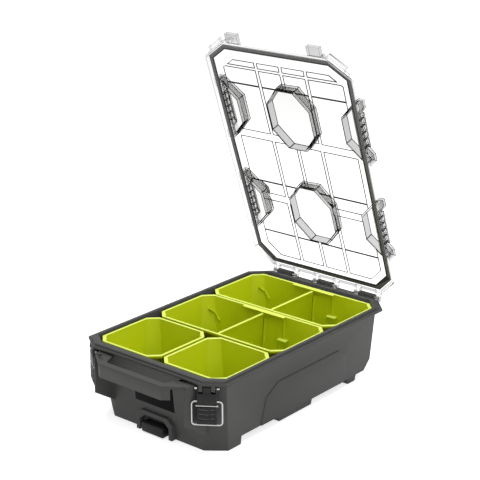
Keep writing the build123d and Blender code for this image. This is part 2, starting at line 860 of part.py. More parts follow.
def seal_closed():
    """Flat rubber seal under the lid's plate, over the tub's ridge."""
    low = ridge_top_z + seal_gap

    def ring(inset, z):
        half_x, front = seal_half_x - inset, seal_front - inset
        cut = corner_cut(half_x, front, seal_reach - inset)
        return outline(half_x, front, ridge_rear - inset, cut, (ridge_rear_cut,) * 2, z)
    return slab(ring(0, low), lid_plate_z - low) - slab(ring(seal_width, low - 1), lid_plate_z - low + 2)


def opened(part):
    """Swing a lid piece from the closed pose to the open rest pose."""
    return Pos(0, hinge_y, hinge_z) * Rot(-lid_open_deg, 0, 0) * Pos(0, -hinge_y, -hinge_z) * part


def latch_lever():
    s_low, s_high = latch_along - lever_half, latch_along + lever_half
    out = latch_pin_out
    back = -(out - lever_thickness / 2)
    front = -(out + lever_thickness / 2)
    body = box((s_low, s_high), (front, back), (lever_low_z, lever_top_z))
    barrel = rod_x(lever_knuckle_radius, s_low, s_high, -out, latch_pin_z)
    neck = box((s_low, s_high), (-(out + neck_half), -(out - neck_half)), (lever_top_z - 1, latch_pin_z))
    body += barrel + neck
    for side in (-1, 1):
        s = latch_along + side * hook_offset
        room = hook_width / 2 + hook_slot_gap
        body -= box((s - room, s + room), (front - 1, back + 1), (lever_top_z, rim_z))
        body -= rod_x(hook_radius + hook_slot_gap, s - room, s + room, -out, latch_pin_z)
    body -= rod_x(latch_pin_radius + running_clearance, s_low - 1, s_high + 1, -out, latch_pin_z)
    body -= rod_x(bail_radius + bail_clearance, s_low - 1, s_high + 1, -bail_axis_out, bail_axis_z)
    body -= box((s_low - 1, s_high + 1), (front - 1, front + cross_groove_depth),
                (cross_pin_z - cross_groove / 2, cross_pin_z + cross_groove / 2))
    body -= rod_x(cross_pin_radius, s_low - 1, s_high + 1, cross_pin_y(), cross_pin_z)
    for i in range(grip_ridges):
        z = cross_pin_z - grip_ridge_start - i * grip_ridge_pitch
        body += rod_x(grip_ridge_radius, s_low + grip_ridge_inset, s_high - grip_ridge_inset, front, z)
    return turned(body)


def cross_pin_y():
    return -(latch_pin_out + lever_thickness / 2 - cross_pin_sink)


def cross_pin():
    return turned(rod_x(cross_pin_radius, latch_along - cross_pin_half, latch_along + cross_pin_half,
                        cross_pin_y(), cross_pin_z))


def latch_pin():
    return turned(rod_x(latch_pin_radius, latch_along - latch_pin_half, latch_along + latch_pin_half,
                        -latch_pin_out, latch_pin_z))


def latch_bail():
    """Closed loop of wire, hanging from its pivot in the lever."""
    low = bail_axis_z - bail_length
    loop = Plane.XZ.offset(bail_axis_out) * Pos(latch_along, (bail_axis_z + low) / 2) * RectangleRounded(
        2 * bail_half, bail_length, bail_bend)
    path = loop.faces()[0].outer_wire()
    start = path.position_at(0)
    section = Plane(origin=start, z_dir=path.tangent_at(0)) * Circle(bail_radius)
    return turned(sweep(section, path=path))


def release_button():
    block = box((-button_half_x, button_half_x), (-button_front, -button_rear), (button_low_z, button_high_z))
    edge = block.edges().filter_by(Axis.X).sort_by(Axis.Z)[-2:].sort_by(Axis.Y)[0]
    block = chamfer(edge, button_edge)
    half = button_half_x + stop_flange
    block += box((-half, half), (-button_rear - stop_flange, -button_rear), (button_low_z, button_high_z))
    for side in (-1, 1):
        seat = Pos(side * spring_inset_x, -button_rear - spring_seat_depth / 2, spring_z()) * Rot(90, 0, 0) * \
            Cylinder(spring_radius + spring_seat_gap, spring_seat_depth)
        block -= seat
    return block


def spring_z():
    return (button_low_z + button_high_z) / 2


def release_spring(side):
    """Compression spring between the button and the back of its housing."""
    front = -button_rear - spring_seat_depth + spring_wire + spring_end_gap
    rear = -housing_rear_y - housing_wall - spring_wire - spring_end_gap
    length = rear - front
    pitch = length / spring_turns
    line = Helix(pitch=pitch, height=length, radius=spring_radius)
    section = Plane(origin=line @ 0, z_dir=line % 0) * Circle(spring_wire)
    coil = sweep(section, path=line)
    return Pos(side * spring_inset_x, front, spring_z()) * Rot(-90, 0, 0) * coil


def label_plate():
    return label_block(label_recess)


nodes["base_tub"] = base_tub()
nodes["label_plate"] = label_plate()
nodes["release_button"] = release_button()
for side, name in ((-1, "left"), (1, "right")):
    nodes["release_spring_" + name] = release_spring(side)
nodes["lid_shell"] = opened(lid_closed())
nodes["lid_seal"] = opened(seal_closed())
for i, name in enumerate(("left", "middle", "right")):
    x = (i - (hinge_sets - 1) / 2) * hinge_spacing
    pin_span = (x - hinge_half_width, x + hinge_half_width)
    nodes["hinge_pin_" + name] = rod_x(hinge_pin_radius, *pin_span, hinge_y, hinge_z)
latches = {
    "latch_lever": latch_lever,
    "latch_cross_pin": cross_pin,
    "latch_pin": latch_pin,
    "latch_bail": latch_bail,
}
for label, build in latches.items():
    nodes[label + "_right"] = build()
    nodes[label + "_left"] = mirror(nodes[label + "_right"], Plane.YZ)
middle_front_y = small_bin_rear_y + row_gap
rear_front_y = middle_bin_rear_y + wide_bin_gap
nodes["small_bin_left"] = make_bin(-field_half_x, -small_bin_gap / 2, -field_half_y, small_bin_rear_y, False)
nodes["small_bin_right"] = make_bin(small_bin_gap / 2, field_half_x, -field_half_y, small_bin_rear_y, False)
nodes["wide_bin_middle"] = make_bin(-field_half_x, field_half_x, middle_front_y, middle_bin_rear_y, True)
nodes["wide_bin_rear"] = make_bin(-field_half_x, field_half_x, rear_front_y, field_half_y, True)
nodes["divider_middle"] = make_divider(middle_front_y, middle_bin_rear_y)
nodes["divider_rear"] = make_divider(rear_front_y, field_half_y)

os.makedirs("parts", exist_ok=True)
for name, shape in nodes.items():
    export_step(shape, "parts/" + name + ".step")
    print(name, len(shape.solids()), round(shape.volume))
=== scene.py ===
import json
import logging
from dataclasses import dataclass, field
from enum import Enum
from math import cos, radians, sin, sqrt
from typing import Callable, Sequence

import bpy
from mathutils import Matrix, Vector

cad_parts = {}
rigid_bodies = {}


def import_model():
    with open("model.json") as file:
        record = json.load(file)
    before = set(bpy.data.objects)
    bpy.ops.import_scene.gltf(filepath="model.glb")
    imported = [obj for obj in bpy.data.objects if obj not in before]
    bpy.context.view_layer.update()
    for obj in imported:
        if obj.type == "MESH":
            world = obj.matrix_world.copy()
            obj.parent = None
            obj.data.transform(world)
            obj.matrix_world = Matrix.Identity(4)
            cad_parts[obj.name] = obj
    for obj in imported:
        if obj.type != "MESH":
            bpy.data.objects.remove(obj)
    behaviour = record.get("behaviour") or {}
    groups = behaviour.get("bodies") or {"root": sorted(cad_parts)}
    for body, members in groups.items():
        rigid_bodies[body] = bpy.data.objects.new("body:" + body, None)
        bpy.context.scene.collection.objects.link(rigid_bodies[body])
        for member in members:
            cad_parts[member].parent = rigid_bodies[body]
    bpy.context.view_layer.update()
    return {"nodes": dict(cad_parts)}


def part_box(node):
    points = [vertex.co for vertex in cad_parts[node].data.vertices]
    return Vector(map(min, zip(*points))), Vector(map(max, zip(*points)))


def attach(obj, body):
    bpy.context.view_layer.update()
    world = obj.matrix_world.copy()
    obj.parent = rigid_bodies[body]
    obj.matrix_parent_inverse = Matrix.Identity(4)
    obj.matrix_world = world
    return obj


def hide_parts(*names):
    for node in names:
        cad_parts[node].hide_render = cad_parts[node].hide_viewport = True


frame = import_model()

log = logging.getLogger("organizer")
MM = 0.001
Point = tuple[float, float, float]
Span = tuple[float, float]
Test = Callable[[Vector, Vector], bool]
# Sockets of a colour Mix node, by number, because several share a name
MIX_FACTOR, MIX_FIRST, MIX_SECOND, MIX_COLOR = 0, 6, 7, 2
# Values between which the cloudy noise of the grain mostly lies
MOTTLE_SPAN = (0.3, 0.7)


class Side(Enum):
    """Side of the box, as the sign of X."""

    LEFT = -1
    RIGHT = 1


class Bench:
    """Operators of the modeller, wrapped as small bench jobs; every size is in metres."""

    weld: float = 0.01 * MM
    flat_angle: float = 0.6
    smooth_angle: float = 40.0

    @staticmethod
    def clear() -> None:
        """Deselect everything, so that an operator acts on its own piece only."""
        for piece in bpy.data.objects:
            piece.select_set(False)

    @staticmethod
    def only(piece: bpy.types.Object) -> None:
        """Make one piece the selected and active one.

        Args:
            piece: The piece to work on.
        """
        Bench.clear()
        piece.hide_set(False)
        piece.select_set(True)
        bpy.context.view_layer.objects.active = piece

    @staticmethod
    def settle(piece: bpy.types.Object) -> bpy.types.Object:
        """Put a piece's place, turn and size into its mesh.

        Args:
            piece: The piece to settle.

        Returns:
            The same piece, with its object at the origin.
        """
        Bench.only(piece)
        bpy.ops.object.transform_apply(location=True, rotation=True, scale=True)
        return piece

    @staticmethod
    def block(name: str, low: Point, high: Point) -> bpy.types.Object:
        """Box between two corners.

        Args:
            name: Name of the piece.
            low: Lowest corner, in metres.
            high: Highest corner, in metres.

        Returns:
            The new piece.
        """
        Bench.clear()
        middle = [(a + b) / 2 for a, b in zip(low, high)]
        bpy.ops.mesh.primitive_cube_add(size=1, location=middle)
        piece = bpy.context.object
        piece.name = name
        piece.scale = [b - a for a, b in zip(low, high)]
        return Bench.settle(piece)

    @staticmethod
    def rod(name: str, radius: float, start: Point, end: Point, sides: int = 24) -> bpy.types.Object:
        """Round bar between two points.

        Args:
            name: Name of the piece.
            radius: Radius of the bar.
            start: Middle of one end.
            end: Middle of the other end.
            sides: Flats round the bar.

        Returns:
            The new piece.
        """
        Bench.clear()
        line = Vector(end) - Vector(start)
        turn = line.to_track_quat("Z", "Y").to_euler()
        bpy.ops.mesh.primitive_cylinder_add(vertices=sides, radius=radius, depth=line.length,
                                            location=(Vector(start) + Vector(end)) / 2, rotation=turn)
        piece = bpy.context.object
        piece.name = name
        return Bench.settle(piece)

    @staticmethod
    def reworked(node: str, name: str) -> bpy.types.Object:
        """Merged copy of a frame node, ready to be shaped further.

        Args:
            node: Name of the frame's node.
            name: Name of the new piece.

        Returns:
            The copy, with its needless edges gone and its flat faces in even triangles.
        """
        source = frame["nodes"][node]
        piece = bpy.data.objects.new(name, source.data.copy())
        bpy.context.scene.collection.objects.link(piece)
        piece.data.materials.clear()
        Bench.only(piece)
        bpy.ops.object.mode_set(mode="EDIT")
        bpy.ops.mesh.select_all(action="SELECT")
        bpy.ops.mesh.remove_doubles(threshold=Bench.weld)
        bpy.ops.mesh.dissolve_limited(angle_limit=radians(Bench.flat_angle))
        bpy.ops.mesh.quads_convert_to_tris(quad_method="BEAUTY", ngon_method="BEAUTY")
        bpy.ops.object.mode_set(mode="OBJECT")
        return piece

    @staticmethod
    def select_faces(piece: bpy.types.Object, wanted: Test) -> int:
        """Select the faces that pass a test on their middle and normal.

        Args:
            piece: The piece whose faces are tried.
            wanted: Test of a face's middle and normal.

        Returns:
            How many faces are selected.
        """
        Bench.only(piece)
        mesh = piece.data
        mesh.vertices.foreach_set("select", [False] * len(mesh.vertices))
        mesh.edges.foreach_set("select", [False] * len(mesh.edges))
        hits = [bool(wanted(face.center, face.normal)) for face in mesh.polygons]
        mesh.polygons.foreach_set("select", hits)
        return sum(hits)

    @staticmethod
    def soften(piece: bpy.types.Object, width: float, segments: int = 2, angle: float = 30.0,
               material: int = -1) -> bpy.types.Object:
        """Round a piece's edges and shade it smoothly between them.

        Args:
            piece: The piece to round.
            width: Width of the rounding.
            segments: Steps across the rounding.
            angle: Least angle between two faces, in degrees, that is rounded.
            material: Material slot of the rounded faces, or -1 to keep the neighbours'.

        Returns:
            The same piece.
        """
        Bench.only(piece)
        bevel = piece.modifiers.new("rounding", "BEVEL")
        bevel.width = width
        bevel.segments = segments
        bevel.limit_method = "ANGLE"
        bevel.angle_limit = radians(angle)
        bevel.use_clamp_overlap = False
        bevel.harden_normals = False
        bevel.material = material
        bpy.ops.object.modifier_apply(modifier=bevel.name)
        bpy.ops.object.shade_smooth_by_angle(angle=radians(Bench.smooth_angle))
        return piece

    @staticmethod
    def joined(pieces: Sequence[bpy.types.Object], name: str) -> bpy.types.Object:
        """Join several pieces into one.

        Args:
            pieces: The pieces, of which the first gives the materials' order.
            name: Name of the result.

        Returns:
            The joined piece.
        """
        Bench.only(pieces[0])
        for piece in pieces:
            piece.select_set(True)
        bpy.ops.object.join()
        pieces[0].name = name
        return pieces[0]

    @staticmethod
    def copied(piece: bpy.types.Object, name: str, place: Matrix) -> bpy.types.Object:
        """Copy a piece with its own mesh to another place.

        Args:
            piece: The piece to copy.
            name: Name of the copy.
            place: Transform from the piece's place to the copy's.

        Returns:
            The copy, with its normals set right if the transform mirrors it.
        """
        copy = bpy.data.objects.new(name, piece.data.copy())
        bpy.context.scene.collection.objects.link(copy)
        copy.data.transform(place)
        if place.determinant() < 0:
            Bench.only(copy)
            bpy.ops.object.mode_set(mode="EDIT")
            bpy.ops.mesh.select_all(action="SELECT")
            bpy.ops.mesh.flip_normals()
            bpy.ops.object.mode_set(mode="OBJECT")
        return copy


class Groups:
    """Shader node groups that more than one finish uses, each built once."""

    _made: dict[str, bpy.types.NodeTree] = {}

    @classmethod
    def _new(cls, name: str, inputs: Sequence[tuple[str, float]], outputs: Sequence[tuple[str, str]]
             ) -> tuple[bpy.types.NodeTree, bpy.types.Node, bpy.types.Node]:
        """Start a node group with named sockets.

        Args:
            name: Name of the group.
            inputs: Input names and their first values.
            outputs: Output names and their socket types.

        Returns:
            The group with its input and output nodes.
        """
        group = bpy.data.node_groups.new(name, "ShaderNodeTree")
        for label, value in inputs:
            socket = group.interface.new_socket(name=label, in_out="INPUT", socket_type="NodeSocketFloat")
            socket.default_value = value
        for label, kind in outputs:
            group.interface.new_socket(name=label, in_out="OUTPUT", socket_type=kind)
        return group, group.nodes.new("NodeGroupInput"), group.nodes.new("NodeGroupOutput")

    @classmethod
    def moulded_grain(cls) -> bpy.types.NodeTree:
        """Fine spark-eroded grain of moulded plastic, as a height and a mask.

        Returns:
            The node group, with inputs Scale and Coarse and outputs Height and Mottle.
        """
        if "moulded_grain" in cls._made:
            return cls._made["moulded_grain"]
        group, given, put = cls._new("moulded_grain", [("Scale", 900.0), ("Coarse", 14.0)],
                                     [("Height", "NodeSocketFloat"), ("Mottle", "NodeSocketFloat")])
        nodes, links = group.nodes, group.links
        place = nodes.new("ShaderNodeTexCoord")
        fine = nodes.new("ShaderNodeTexNoise")
        fine.inputs["Detail"].default_value = 3.0
        pits = nodes.new("ShaderNodeTexVoronoi")
        pits.feature = "SMOOTH_F1"
        cloud = nodes.new("ShaderNodeTexNoise")
        cloud.inputs["Detail"].default_value = 4.0
        add = nodes.new("ShaderNodeMath")
        add.operation = "MULTIPLY_ADD"
        add.inputs[1].default_value = 0.6
        for texture, scale in ((fine, "Scale"), (pits, "Scale"), (cloud, "Coarse")):
            links.new(place.outputs["Object"], texture.inputs["Vector"])
            links.new(given.outputs[scale], texture.inputs["Scale"])
        links.new(pits.outputs["Distance"], add.inputs[0])
        links.new(fine.outputs["Fac"], add.inputs[2])
        links.new(add.outputs[0], put.inputs["Height"])
        links.new(cloud.outputs["Fac"], put.inputs["Mottle"])
        cls._made["moulded_grain"] = group
        return group

    @classmethod
    def scuffs(cls) -> bpy.types.NodeTree:
        """Thin random handling scratches, as a mask between 0 and 1.

        Returns:
            The node group, with inputs Scale and Amount and output Mask.
        """
        if "scuffs" in cls._made:
            return cls._made["scuffs"]
        group, given, put = cls._new("scuffs", [("Scale", 30.0), ("Amount", 0.3)],
                                     [("Mask", "NodeSocketFloat")])
        nodes, links = group.nodes, group.links
        place = nodes.new("ShaderNodeTexCoord")
        stretch = nodes.new("ShaderNodeMapping")
        stretch.inputs["Scale"].default_value = (1.0, 9.0, 3.0)
        stretch.inputs["Rotation"].default_value = (0.4, 0.2, 0.7)
        lines = nodes.new("ShaderNodeTexNoise")
        lines.inputs["Detail"].default_value = 2.0
        ramp = nodes.new("ShaderNodeMapRange")
        ramp.inputs["From Min"].default_value = 0.62
        ramp.inputs["From Max"].default_value = 0.7
        times = nodes.new("ShaderNodeMath")
        times.operation = "MULTIPLY"
        links.new(place.outputs["Object"], stretch.inputs["Vector"])
        links.new(stretch.outputs["Vector"], lines.inputs["Vector"])
        links.new(given.outputs["Scale"], lines.inputs["Scale"])
        links.new(lines.outputs["Fac"], ramp.inputs["Value"])
        links.new(ramp.outputs["Result"], times.inputs[0])
        links.new(given.outputs["Amount"], times.inputs[1])
        links.new(times.outputs[0], put.inputs["Mask"])
        cls._made["scuffs"] = group
        return group


@dataclass(frozen=True)
class Finish:
    """What every finish has: a name, a colour and the nodes that they all start from."""

    name: str
    color: tuple[float, float, float]

    def material(self) -> bpy.types.Material:
        """Build the finish once.

        Returns:
            The finish's material.
        """
        if self.name in bpy.data.materials:
            return bpy.data.materials[self.name]
        made = bpy.data.materials.new(self.name)
        made.use_nodes = True
        self.wire(made.node_tree, made.node_tree.nodes["Principled BSDF"])
        return made

    def wire(self, tree: bpy.types.NodeTree, shader: bpy.types.Node) -> None:
        """Set the finish's own nodes; each kind of finish has its own way.

        Args:
            tree: Node tree of the material.
            shader: Its Principled BSDF.
        """
        raise NotImplementedError

    @staticmethod
    def placed(tree: bpy.types.NodeTree, group: bpy.types.NodeTree, values: dict[str, float]
               ) -> bpy.types.Node:
        """Place a node group.

        Args:
            tree: Node tree of the material.
            group: The node group.
            values: Values of its inputs, where they aren't the group's own.

        Returns:
            The placed node.
        """
        node = tree.nodes.new("ShaderNodeGroup")
        node.node_tree = group
        for label, value in values.items():
            node.inputs[label].default_value = value
        return node

    @staticmethod
    def ranged(tree: bpy.types.NodeTree, mask: bpy.types.NodeSocket, to: Span, given: Span = (0.0, 1.0)
               ) -> bpy.types.NodeSocket:
        """Spread a mask over a range.

        Args:
            tree: Node tree of the material.
            mask: The mask.
            to: Lowest and highest result.
            given: The mask's values that give them.

        Returns:
            The socket of the result.
        """
        node = tree.nodes.new("ShaderNodeMapRange")
        for label, value in zip(("From Min", "From Max", "To Min", "To Max"), (*given, *to)):
            node.inputs[label].default_value = value
        tree.links.new(mask, node.inputs["Value"])
        return node.outputs["Result"]

    def shaded(self, tree: bpy.types.NodeTree, tone: bpy.types.NodeSocket) -> bpy.types.NodeSocket:
        """The finish's colour, lighter and darker with a tone.

        Args:
            tree: Node tree of the material.
            tone: The tone, about 1.

        Returns:
            The socket of the colour.
        """
        node = tree.nodes.new("ShaderNodeVectorMath")
        node.operation = "SCALE"
        node.inputs[0].default_value = self.color
        tree.links.new(tone, node.inputs["Scale"])
        return node.outputs["Vector"]

    @staticmethod
    def bumped(tree: bpy.types.NodeTree, shader: bpy.types.Node, height: bpy.types.NodeSocket,
               strength: float, depth: float) -> None:
        """Roughen a shader's surface with a height.

        Args:
            tree: Node tree of the material.
            shader: Shader whose normal is bent.
            height: The height.
            strength: Strength of the bump.
            depth: Height of the bump, in metres.
        """
        bump = tree.nodes.new("ShaderNodeBump")
        bump.inputs["Strength"].default_value = strength
        bump.inputs["Distance"].default_value = depth
        tree.links.new(height, bump.inputs["Height"])
        tree.links.new(bump.outputs["Normal"], shader.inputs["Normal"])


@dataclass(frozen=True)
class MouldedFinish(Finish):
    """Moulded plastic or rubber: colour, grain, mottling and light scuffs."""

    roughness: float = 0.5
    grain: float = 900.0
    grain_depth: float = 0.06
    mottle: float = 0.06
    scuff: float = 0.12
    specular: float = 0.5
    worn_gain: float = 1.35
    worn_lift: float = 0.02

    def wire(self, tree: bpy.types.NodeTree, shader: bpy.types.Node) -> None:
        """Set the grain, the mottling and the scuffs.

        Args:
            tree: Node tree of the material.
            shader: Its Principled BSDF.
        """
        links = tree.links
        shader.inputs["Specular IOR Level"].default_value = self.specular
        grain = self.placed(tree, Groups.moulded_grain(), {"Scale": self.grain})
        marks = self.placed(tree, Groups.scuffs(), {"Amount": self.scuff})
        tone = self.ranged(tree, grain.outputs["Mottle"], (1.0 - self.mottle, 1.0 + self.mottle), MOTTLE_SPAN)
        worn = tree.nodes.new("ShaderNodeMix")
        worn.data_type = "RGBA"
        pale = [min(1.0, part * self.worn_gain + self.worn_lift) for part in self.color]
        worn.inputs[MIX_SECOND].default_value = (*pale, 1.0)
        links.new(self.shaded(tree, tone), worn.inputs[MIX_FIRST])
        links.new(marks.outputs["Mask"], worn.inputs[MIX_FACTOR])
        links.new(worn.outputs[MIX_COLOR], shader.inputs["Base Color"])
        rough = self.ranged(tree, grain.outputs["Height"], (self.roughness - 0.05, self.roughness + 0.07),
                            (0.2, 0.9))
        links.new(rough, shader.inputs["Roughness"])
        self.bumped(tree, shader, grain.outputs["Height"], self.grain_depth, 0.3 * MM)


@dataclass(frozen=True)
class ClearFinish(Finish):
    """Clear polycarbonate of the lid, with a grey colour and a faint moulded waviness; its darker greys are
    painted shade.
    """

    roughness: float = 0.02
    ior: float = 1.04
    haze: float = 0.12
    ripple: float = 0.02

    def wire(self, tree: bpy.types.NodeTree, shader: bpy.types.Node) -> None:
        """Set the glass, its haze of scratches and its waviness.

        Args:
            tree: Node tree of the material.
            shader: Its Principled BSDF.
        """
        links = tree.links
        shader.inputs["Transmission Weight"].default_value = 1.0
        shader.inputs["IOR"].default_value = self.ior
        shader.inputs["Metallic"].default_value = 0.0
        grain = self.placed(tree, Groups.moulded_grain(), {"Scale": 60.0})
        marks = self.placed(tree, Groups.scuffs(), {"Amount": 0.15})
        tone = self.ranged(tree, grain.outputs["Mottle"], (0.97, 1.0), MOTTLE_SPAN)
        links.new(self.shaded(tree, tone), shader.inputs["Base Color"])
        rough = self.ranged(tree, marks.outputs["Mask"], (self.roughness, self.roughness + self.haze))
        links.new(rough, shader.inputs["Roughness"])
        self.bumped(tree, shader, grain.outputs["Mottle"], self.ripple, 1.0 * MM)


@dataclass(frozen=True)
class SteelFinish(Finish):
    """Drawn steel wire and turned pins, with fine lines and slight tarnish."""

    roughness: float = 0.25

    def wire(self, tree: bpy.types.NodeTree, shader: bpy.types.Node) -> None:
        """Set the metal, its tarnish and its fine lines.

        Args:
            tree: Node tree of the material.
            shader: Its Principled BSDF.
        """
        links = tree.links
        shader.inputs["Metallic"].default_value = 1.0
        grain = self.placed(tree, Groups.moulded_grain(), {"Scale": 1500.0, "Coarse": 120.0})
        tone = self.ranged(tree, grain.outputs["Mottle"], (0.8, 1.1))
        links.new(self.shaded(tree, tone), shader.inputs["Base Color"])
        rough = self.ranged(tree, grain.outputs["Mottle"], (self.roughness - 0.05, self.roughness + 0.12))
        links.new(rough, shader.inputs["Roughness"])
        self.bumped(tree, shader, grain.outputs["Height"], 0.05, 0.2 * MM)


CHARCOAL = MouldedFinish("charcoal_plastic", (0.045, 0.045, 0.0435), roughness=0.5, scuff=0.06, specular=0.2)
BLACK = MouldedFinish("black_plastic", (0.01, 0.01, 0.01), roughness=0.45, scuff=0.04, specular=0.2)
# Ridges of the lever's grip are drawn a paler black than the lever.
WAVE = MouldedFinish("black_worn_ridge", (0.05, 0.05, 0.05), roughness=0.35)
LABEL = MouldedFinish("label_black", (0.003, 0.003, 0.003), roughness=0.6, grain_depth=0.02, scuff=0.01,
                      specular=0.05)
LIME = MouldedFinish("lime_plastic", (0.44, 0.51, 0.002), roughness=0.5, grain_depth=0.04, mottle=0.03,
                     scuff=0.04, specular=0.18)
# Paler lime on the bins' top rims and on the rests is a painted highlight, not a second plastic.
LIME_PAINTED_HIGHLIGHT = MouldedFinish("lime_rim", (0.62, 0.72, 0.09), roughness=0.42, grain_depth=0.03, mottle=0.02,
                         scuff=0.03)
RUBBER = MouldedFinish("seal_rubber_black", (0.005, 0.005, 0.005), roughness=0.6, grain_depth=0.04,
                       mottle=0.1)
# Grey on the seal's outer band is a painted sheen of the clear rim over the black rubber.
SEAL_PAINTED_SHEEN = MouldedFinish("seal_outer_grey", (0.085, 0.085, 0.085), roughness=0.6, grain_depth=0.04)
EDGE_LINE = MouldedFinish("lid_edge_line", (0.01, 0.01, 0.01), roughness=0.4, grain_depth=0.02, specular=0.1)
# Beyond the sheet, these clear greys are painted shade: walls, edges, rim, grips, grooves and pad tops are
# drawn darker for light bent in the clear plastic.
CLEAR = ClearFinish("lid_clear_sheet", (0.88, 0.88, 0.875))
CLEAR_WALL_SHADE = ClearFinish("lid_clear_wall", (0.42, 0.42, 0.42), roughness=0.04)
CLEAR_EDGE_SHADE = ClearFinish("lid_clear_edge", (0.16, 0.16, 0.16), roughness=0.1)
CLEAR_RIM_SHADE = ClearFinish("lid_clear_rim", (0.72, 0.72, 0.72), roughness=0.08)
CLEAR_GRIP_SHADE = ClearFinish("lid_clear_grip", (0.5, 0.5, 0.5), roughness=0.2)
CLEAR_LINE_SHADE = ClearFinish("lid_clear_line", (0.05, 0.05, 0.05), roughness=0.1)
CLEAR_TOP_SHADE = ClearFinish("lid_clear_boss_top", (0.68, 0.68, 0.675), roughness=0.05)
WIRE = SteelFinish("bright_wire", (0.42, 0.42, 0.41), roughness=0.28)
PIN = SteelFinish("pin_steel_grey", (0.5, 0.5, 0.49), roughness=0.3)


class Clear(Enum):
    """Greys of the clear lid, in the order of its material slots; all but the sheet are painted shade for
    light bent in the clear plastic.
    """

    SHEET = 0
    WALL = 1
    EDGE = 2
    RIM = 3
    GRIP = 4
    LINE = 5
    TOP = 6


@dataclass
class Tub:
    """Charcoal tub with its deck, handle, fins, feet and hinge knuckles."""

    rounding: float = 0.5 * MM

    def build(self) -> None:
        """Round the tub's edges and dress it."""
        body = Bench.reworked("base_tub", "tub_body")
        body.data.materials.append(CHARCOAL.material())
        Bench.soften(body, self.rounding)
        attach(body, "base")
        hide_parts("base_tub")
        log.info("tub: %d faces", len(body.data.polygons))


@dataclass
class Bins:
    """The four lift-out bins and the two dividers."""

    rounding: float = 0.5 * MM
    highlight_band: float = 0.7 * MM
    rear_lip: float = 3.4 * MM
    rear_slope: float = 6.6 * MM
    slant_corner: Span = (-88.0 * MM, 78.0 * MM)
    slant_foot: Span = (-80.5 * MM, 69.0 * MM)
    slant_rise: Point = (-7.0 * MM, -7.0 * MM, 8.0 * MM)
    slant_radius: float = 1.9 * MM
    tab_rib_x: float = 34.5 * MM
    tab_rib_z: Span = (100.5 * MM, 72.0 * MM)
    tab_rib_radius: float = 1.3 * MM
    rest_rib_x: float = 24.5 * MM
    rest_rib_z: Span = (79.0 * MM, 24.0 * MM)
    rest_rib_radius: float = 1.0 * MM
    rest_x: Span = (28.0 * MM, 43.0 * MM)
    rest_z: Span = (70.0 * MM, 71.6 * MM)
    rest_depth: float = 7.0 * MM
    rest_root: float = 0.5 * MM
    rest_rounding: float = 0.3 * MM
    rib_sides: int = 12
    bodies: dict[str, str] = field(default_factory=lambda: {
        "small_bin_left": "bin_small_left", "small_bin_right": "bin_small_right",
        "wide_bin_middle": "bin_wide_middle", "wide_bin_rear": "bin_wide_rear",
        "divider_middle": "divider_middle_body", "divider_rear": "divider_rear_body"})

    def build(self) -> None:
        """Round every bin and divider, with paler lime along the top rims as a painted highlight."""
        for node, body in self.bodies.items():
            piece = Bench.reworked(node, node + "_shell")
            piece.data.materials.append(LIME.material())
            piece.data.materials.append(LIME_PAINTED_HIGHLIGHT.material())
            Bench.soften(piece, self.rounding)
            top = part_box(node)[1][2]
            # The top band of each rim gets the paler lime as a painted highlight.
            for face in piece.data.polygons:
                if face.center[2] > top - self.highlight_band:
                    face.material_index = 1
            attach(piece, body)
            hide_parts(node)
            log.info("%s: %d faces", node, len(piece.data.polygons))
        for node in ("wide_bin_middle", "wide_bin_rear"):
            self.wall_details(node)

    def rear_wall(self, node: str, x: float, z: float) -> Point:
        """Point on the inside of a wide bin's rear wall.

        Args:
            node: The bin's node.
            x: Place along the wall.
            z: Height above the floor.

        Returns:
            The point.
        """
        low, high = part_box(node)
        lean = self.rear_slope * (high[2] - z) / (high[2] - low[2])
        return (x, high[1] - self.rear_lip - lean, z)

    def wall_details(self, node: str) -> None:
        """Ribs and rest of a wide bin's rear wall.

        A bent rib slants down on the left, and a rest stands between two upright ribs on the right.

        Args:
            node: The bin's node.
        """
        corner = self.rear_wall(node, *self.slant_corner)
        head = tuple(Vector(corner) + Vector(self.slant_rise))
        foot = self.rear_wall(node, *self.slant_foot)
        ribs = [("_slant_upper", self.slant_radius, head, corner),
                ("_slant_lower", self.slant_radius, corner, foot)]
        for label, radius, x, (top, bottom) in (
                ("_tab_rib", self.tab_rib_radius, self.tab_rib_x, self.tab_rib_z),
                ("_rest_rib", self.rest_rib_radius, self.rest_rib_x, self.rest_rib_z)):
            ribs.append((label, radius, self.rear_wall(node, x, top), self.rear_wall(node, x, bottom)))
        pieces = []
        for label, radius, start, end in ribs:
            piece = Bench.rod(node + label, radius, start, end, self.rib_sides)
            piece.data.materials.append(LIME.material())
            pieces.append(piece)
        root = self.rear_wall(node, self.rest_x[0], self.rest_z[0])[1] + self.rest_root
        rest = Bench.block(node + "_rest", (self.rest_x[0], root - self.rest_depth, self.rest_z[0]),
                           (self.rest_x[1], root, self.rest_z[1]))
        # The rest is drawn in the paler lime, a painted highlight on the ledge.
        rest.data.materials.append(LIME_PAINTED_HIGHLIGHT.material())
        Bench.soften(rest, self.rest_rounding)
        for piece in pieces + [rest]:
            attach(piece, self.bodies[node])


